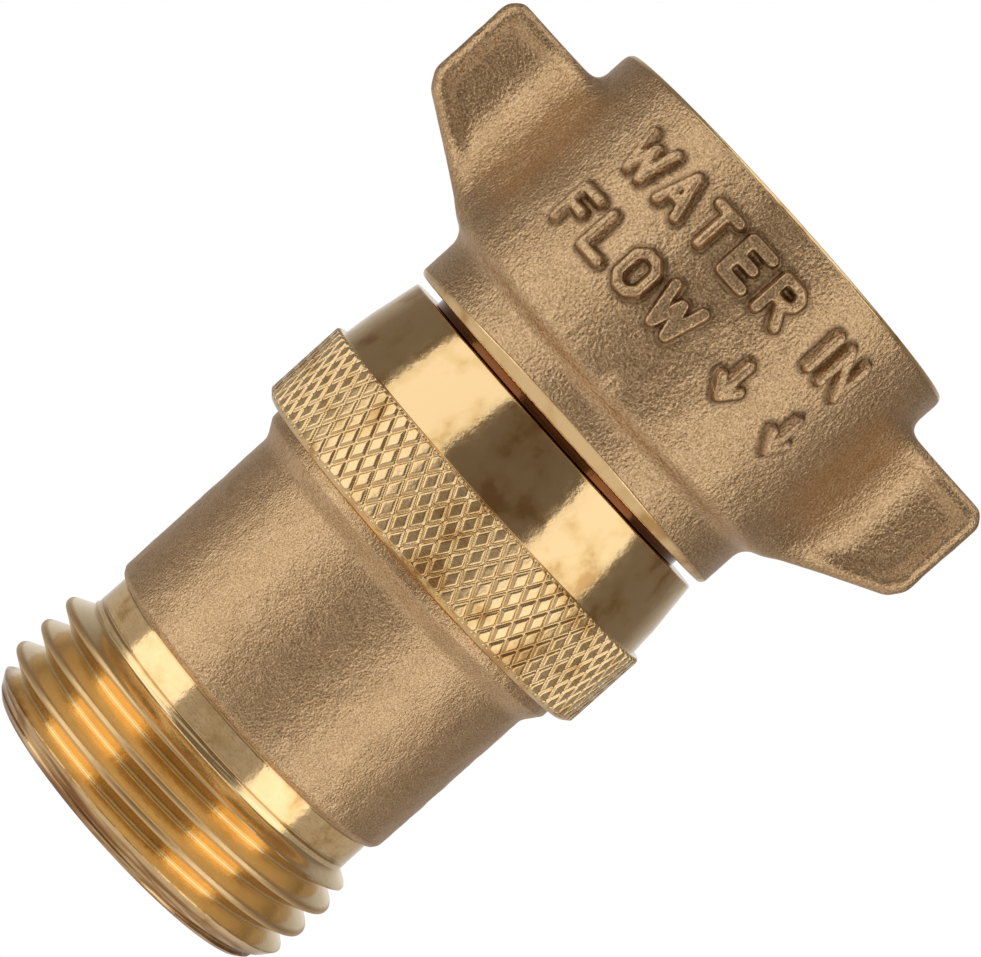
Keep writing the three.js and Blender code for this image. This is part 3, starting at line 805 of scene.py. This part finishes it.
def swivel_nut(material):
    """Winged hose nut with cast letters, meshed from its distance field, with cast grain on its outside."""
    voxel = 0.14
    margin = 4 * voxel
    low = nut_low - margin
    axes = [np.arange(low[a], nut_high[a] + margin, voxel, dtype=np.float32) for a in range(3)]
    x, y, z = np.meshgrid(*axes, indexing="ij", sparse=True)
    x, y, z = np.broadcast_arrays(x, y, z)
    grid = openvdb.FloatGrid(background=1.0)
    grid.copyFromArray(np.ascontiguousarray(nut_field(x, y, z, voxel), np.float32))
    points, _, quads = grid.convertToPolygons(isovalue=0.0)
    points = points * voxel + low
    rho = np.hypot(points[:, 0], points[:, 1])
    rough = np.clip((rho - 13.75) / 0.4, 0, 1)
    rough *= np.clip((points[:, 2] - NUT_Z - 0.9) / 0.5, 0, 1)
    rough *= np.clip((NUT_TOP_Z - 0.3 - points[:, 2]) / 0.4, 0, 1)
    outward = points * [1, 1, 0] / rho[:, None]
    # Dirt together with painted shade at the foot of the letters, kept on the mesh for the material.
    grime_and_shade = dirt_and_shade_round_letters(points)
    points = points + outward * (rough * cast_grain(points, 31))[:, None]
    piece = new_mesh("swivel_nut_fine", points, quads, [material], sharp=60)
    piece.data.attributes.new("grime_and_shade", "FLOAT", "POINT").data.foreach_set("value", grime_and_shade.astype(np.float32))
    return piece


# ---------------------------------------------------------------- inside


def spring_piece(material):
    """Compression spring with a closed, ground turn at each end."""
    low, high = box_mm("spring")
    wire = 0.9
    mean_r = 7.8
    turns = 6.5
    around = 16
    bottom = low[2] + wire * 0.55
    top = high[2] - wire * 0.55
    steps = int(turns * 48)
    turn = np.linspace(0, turns, steps + 1)
    closed = 2 * wire + 0.1
    dead = np.minimum(turn, 1) + np.maximum(turn - (turns - 1), 0)
    rise = (top - bottom - 2 * closed) / (turns - 2)
    height = bottom + dead * closed + (turn - dead) * rise
    angle = turn * TURN
    section = np.arange(around) * TURN / around
    r = mean_r + wire * np.cos(section)[None, :]
    z = np.clip(height[:, None] + wire * np.sin(section)[None, :], low[2], high[2])
    points = np.stack([r * np.cos(angle)[:, None], r * np.sin(angle)[:, None], z], axis=-1).reshape(-1, 3)
    row = np.arange(steps)[:, None] * around
    column = np.arange(around)[None, :]
    after = (column + 1) % around
    corners = [row + column, row + around + column, row + around + after, row + after]
    sides = np.stack(corners, axis=-1).reshape(-1, 4)
    first = np.arange(around)
    last = first + steps * around
    ends = (first, last[::-1])
    caps = [[end[k], end[k + 1], end[-2 - k], end[-1 - k]] for end in ends for k in range(around // 2 - 1)]
    return new_mesh("spring_wire", points, np.concatenate([sides, np.array(caps)]), [material])


def woven_screen(material):
    """Plain weave of six-sided wires, cut to a disc."""
    low, high = box_mm("inlet_screen")
    middle = (low[2] + high[2]) / 2
    limit = high[0] - 0.15
    pitch = 0.55
    wire = 0.075
    around = 6
    section = np.arange(around) * TURN / around
    points = []
    faces = []
    count = int(limit / pitch)
    for along in (0, 1):
        for k in range(-count, count + 1):
            offset = k * pitch
            half = math.sqrt(limit**2 - offset**2)
            t = np.arange(-half, half + 0.01, pitch / 4)
            wave = wire * np.cos(math.pi * t / pitch) * (1 if (k + along) % 2 else -1)
            centre = np.stack([t, np.full_like(t, offset), middle + wave], axis=-1)
            ring = np.stack([0 * section, wire * np.cos(section), wire * np.sin(section)], axis=-1)
            tube = (centre[:, None, :] + ring[None, :, :]).reshape(-1, 3)
            if along:
                tube = tube[:, [1, 0, 2]]
            base = sum(len(p) for p in points)
            points.append(tube)
            row = base + np.arange(len(t) - 1)[:, None] * around
            column = np.arange(around)[None, :]
            after = (column + 1) % around
            corners = [row + column, row + after, row + around + after, row + around + column]
            sides = np.stack(corners, axis=-1).reshape(-1, 4)
            cap = np.array([[0, 1, 2, 5], [5, 2, 3, 4]])
            last = base + (len(t) - 1) * around
            skin = np.concatenate([sides, base + cap[:, ::-1], last + cap])
            faces.append(skin[:, ::-1] if along else skin)
    return new_mesh("inlet_screen_weave", np.concatenate(points), np.concatenate(faces), [material])


def o_ring(name, node, material):
    """Ring of round section that fills the node's box."""
    low, high = box_mm(node)
    section = (high[2] - low[2]) / 2
    mean = high[0] - section
    around = 24
    columns = 96
    angle = np.arange(around) * TURN / around
    middle = (low[2] + high[2]) / 2
    outline = np.stack([mean + section * np.cos(angle), middle + section * np.sin(angle)], axis=1)
    r, turn, z = turned_points(outline, columns)
    return new_mesh(name, polar(r, turn, z), turned_faces(around, columns), [material], sharp=80)


def washer(name, node, inner_r, material, bevel):
    """Flat ring that fills the node's box, with a hole."""
    low, high = box_mm(node)
    r = high[0]
    corners = [(r, low[2], bevel), (r, high[2], bevel), (inner_r, high[2], bevel), (inner_r, low[2], bevel)]
    return turned(name, corners, material)


def put(piece, node, body):
    """The piece rides on a body and stands for a CAD node, whose own mesh is hidden."""
    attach(piece, body)
    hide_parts(node)


# ---------------------------------------------------------------- the object

cast = cast_brass("cast_brass", 0.16)
nut_metal = nut_brass("nut_brass", 0.22)
polished = body_brass("body_brass")
knurled = turned_brass("knurled_brass", 0.016, 0.17, 0.9)
inner_brass = turned_brass("inner_brass", 0.004, 0.05, 1.0)
ring_steel = steel("ring_steel", (0.62, 0.62, 0.61), 0.24, (1, 1, 1))
stem_steel = steel("stem_steel", (0.70, 0.70, 0.69), 0.12, (40, 40, 1))
wire_steel = steel("wire_steel", (0.58, 0.58, 0.58), 0.22, (1, 1, 1))
mesh_steel = steel("mesh_steel", (0.62, 0.62, 0.63), 0.26, (1, 1, 1))
rubber = moulded("rubber", (0.012, 0.012, 0.013), (0.035, 0.035, 0.036), 0.5)
ptfe = moulded("ptfe", (0.70, 0.69, 0.65), (0.86, 0.85, 0.82), 0.3)

put(outlet_body(cast, polished), "outlet_body", "body")
put(inlet_body(knurled, polished), "inlet_body", "body")
put(swivel_nut(nut_metal), "swivel_nut", "nut")

hose_low, hose_high = box_mm("hose_washer")
hose_r = hose_high[0]
put(turned("hose_washer_fine", [
    (hose_r, hose_low[2], 0.3), (hose_r, hose_high[2], 0.3), (8.2, hose_high[2], 0.25),
    (8.2, hose_low[2], 0.1),
], rubber, 160), "hose_washer", "body")

rim_low, rim_high = box_mm("screen_rim")
rim_r = rim_high[0]
put(turned("screen_rim_fine", [
    (rim_r, rim_low[2], 0.1), (rim_r, rim_high[2], 0.25), (RIM_HOLE_R, rim_high[2], 0.2),
    (RIM_HOLE_R, RIM_SLOT_TOP_Z, 0.03), (RIM_SLOT_R, RIM_SLOT_TOP_Z, 0.02),
    (RIM_SLOT_R, RIM_SLOT_LOW_Z, 0.02), (RIM_HOLE_R, RIM_SLOT_LOW_Z, 0.03), (RIM_HOLE_R, rim_low[2], 0.1),
], inner_brass), "screen_rim", "body")
put(woven_screen(mesh_steel), "inlet_screen", "body")

head_low, head_high = box_mm("piston_head")
head_r = head_high[0]
put(turned("piston_head_fine", [
    (head_r, head_low[2], 0.4), (head_r, HEAD_GROOVE_LOW_Z, 0.05), (HEAD_GROOVE_R, HEAD_GROOVE_LOW_Z, 0.1),
    (HEAD_GROOVE_R, HEAD_GROOVE_TOP_Z, 0.1), (head_r, HEAD_GROOVE_TOP_Z, 0.05),
    (head_r, head_high[2], 0.25), (STEM_SEAT_R, head_high[2], 0.1), (STEM_SEAT_R, STEM_SEAT_Z, 0.05),
    (STEM_BORE_R, STEM_SEAT_Z, 0.1), (STEM_BORE_R, STEM_SEAT_Z - 0.5, 0.1), (3.6, head_low[2], 0.1),
], inner_brass), "piston_head", "piston")

stem_low, stem_high = box_mm("piston_stem")
stem_r = stem_high[0]
put(turned("piston_stem_fine", [
    (stem_r, stem_low[2], 0.1), (stem_r, stem_high[2] - 0.7, 0.2), (3.15, stem_high[2], 0.06),
    (2.9, stem_high[2], 0.04), (STEM_BORE_R, stem_high[2] - 0.3, 0.1), (STEM_BORE_R, stem_low[2], 0.1),
], stem_steel), "piston_stem", "piston")

put(o_ring("head_o_ring_fine", "head_o_ring", rubber), "head_o_ring", "piston")
put(o_ring("stem_o_ring_fine", "stem_o_ring", rubber), "stem_o_ring", "body")

# Node, hole radius, edge bevel, body, material and its slot of the plain washers.
WASHERS = (
    ("head_backup_ring", 8.1, 0.08, "piston", ptfe, "ptfe"),
    ("stem_backup_ring", 3.9, 0.08, "body", ptfe, "ptfe"),
    ("guide_bush", 3.88, 0.15, "body", ptfe, "ptfe"),
    ("seat_disc", 1.04, 0.1, "body", rubber, "rubber"),
    ("seat_washer", 1.04, 0.05, "body", ring_steel, "steel"),
    ("upper_spring_washer", 4.2, 0.08, "body", ring_steel, "steel"),
    ("lower_spring_shim", 4.2, 0.08, "piston", ring_steel, "steel"),
)
for node, hole_r, bevel, body, finish, slot in WASHERS:
    put(washer(node + "_fine", node, hole_r, finish, bevel), node, body)

coil = spring_piece(wire_steel)
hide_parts("spring")
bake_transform(coil)

for node, metal in (("nut_retaining_ring", ring_steel), ("carrier_snap_ring", ring_steel),
                    ("seat_screw", ring_steel), ("seat_carrier", inner_brass)):
    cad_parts[node].data.materials.clear()
    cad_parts[node].data.materials.append(metal)


# ---------------------------------------------------------------- studio

# Position, brightness and warmth of the surroundings: of the walls from the camera's side to the far side,
# and of the table from the horizon straight down. The table is pale, with a dim strip near its far edge.
WALL_STOPS = (
    (0.0, 0.16, 0.17), (0.50, 0.19, 0.13), (0.83, 0.21, 0.13), (0.905, 0.34, 0.05), (0.957, 0.50, 0.02),
    (0.99, 0.72, 0.0), (1.0, 0.9, 0.0),
)
TABLE_STOPS = (
    (0.04, 0.0, 0.0), (0.10, 0.56, 0.07), (0.138, 0.56, 0.07), (0.152, 0.10, 0.07), (0.20, 0.10, 0.07),
    (0.32, 0.40, 0.07), (0.7, 0.64, 0.07), (1.0, 0.68, 0.07),
)


def softbox(name, azimuth, elevation, distance, width, height, power):
    """An upright rectangular lamp. Azimuth is 0 on the camera's side and grows to the right."""
    a = math.radians(azimuth)
    e = math.radians(elevation)
    away = Vector((math.sin(a) * math.cos(e), -math.cos(a) * math.cos(e), math.sin(e)))
    lamp = bpy.data.lights.new(name, "AREA")
    lamp.shape = "RECTANGLE"
    lamp.size = width
    lamp.size_y = height
    lamp.energy = power
    holder = bpy.data.objects.new(name, lamp)
    centre = (Vector(cad_low) + Vector(cad_high)) / 2
    holder.location = centre + away * distance
    holder.rotation_euler = (-away).to_track_quat("-Z", "Y").to_euler()
    holder.visible_camera = False
    bpy.context.scene.collection.objects.link(holder)


def sky_ramp(tree, value, lowest, stops):
    """Colours of the surroundings through (position, colour) stops as the value runs from lowest to 1."""
    place = tree.nodes.new("ShaderNodeMapRange")
    place.inputs["From Min"].default_value = lowest
    tree.links.new(value, place.inputs["Value"])
    ramp = tree.nodes.new("ShaderNodeValToRGB")
    tree.links.new(place.outputs[0], ramp.inputs[0])
    while len(ramp.color_ramp.elements) < len(stops):
        ramp.color_ramp.elements.new(0.5)
    for element, (position, brightness, warmth) in zip(ramp.color_ramp.elements, stops):
        element.position = position
        element.color = (brightness, brightness * (1 - warmth), brightness * (1 - 1.6 * warmth), 1)
    return ramp.outputs[0]


def studio_world():
    """White to the camera. To the metal it is dim in front, bright behind, and pale below the horizon."""
    world = bpy.data.worlds.new("studio")
    bpy.context.scene.world = world
    world.use_nodes = True
    tree = world.node_tree
    way = tree.nodes.new("ShaderNodeTexCoord")
    parts = tree.nodes.new("ShaderNodeSeparateXYZ")
    tree.links.new(way.outputs["Generated"], parts.inputs[0])
    walls = sky_ramp(tree, parts.outputs["Y"], -1, WALL_STOPS)
    down = tree.nodes.new("ShaderNodeMath")
    down.operation = "MULTIPLY"
    down.inputs[1].default_value = -1
    tree.links.new(parts.outputs["Z"], down.inputs[0])
    table = sky_ramp(tree, down.outputs[0], 0, TABLE_STOPS)
    lighter = tree.nodes.new("ShaderNodeMix")
    lighter.data_type = "RGBA"
    lighter.blend_type = "LIGHTEN"
    lighter.inputs[0].default_value = 1
    tree.links.new(walls, lighter.inputs[6])
    tree.links.new(table, lighter.inputs[7])
    back = tree.nodes["Background"]
    tree.links.new(lighter.outputs[2], back.inputs["Color"])
    white = tree.nodes.new("ShaderNodeBackground")
    white.inputs["Color"].default_value = (1, 1, 1, 1)
    seen = tree.nodes.new("ShaderNodeLightPath")
    mix = tree.nodes.new("ShaderNodeMixShader")
    tree.links.new(seen.outputs["Is Camera Ray"], mix.inputs[0])
    tree.links.new(back.outputs[0], mix.inputs[1])
    tree.links.new(white.outputs[0], mix.inputs[2])
    tree.links.new(mix.outputs[0], tree.nodes["World Output"].inputs["Surface"])


def camera():
    """A long lens, level with the object's middle, rolled so that the long axis runs up to the right."""
    data = bpy.data.cameras.new("camera")
    data.lens = 143.2
    data.sensor_width = 36
    data.clip_start = 0.01
    data.clip_end = 10
    eye = bpy.data.objects.new("camera", data)
    tilt = math.radians(2.44)
    roll = math.radians(48.1)
    right = Vector((1, 0, 0))
    up = Vector((0, math.sin(tilt), math.cos(tilt)))
    right_rolled = math.cos(roll) * right + math.sin(roll) * up
    up_rolled = math.cos(roll) * up - math.sin(roll) * right
    back = right_rolled.cross(up_rolled)
    turn = Matrix((right_rolled, up_rolled, back)).transposed()
    eye.matrix_world = Matrix.Translation(Vector((-0.66, -258.4, 44.5)) * MM) @ turn.to_4x4()
    bpy.context.scene.collection.objects.link(eye)
    bpy.context.scene.camera = eye


softbox("softbox_left", -59, 8, 0.45, 0.435, 0.75, 1.02)
softbox("softbox_right", 55, 8, 0.45, 0.362, 0.75, 0.90)
softbox("softbox_top", 0, 89, 0.45, 0.40, 0.40, 0.42)
studio_world()
camera()
bpy.context.scene.view_settings.view_transform = "Standard"
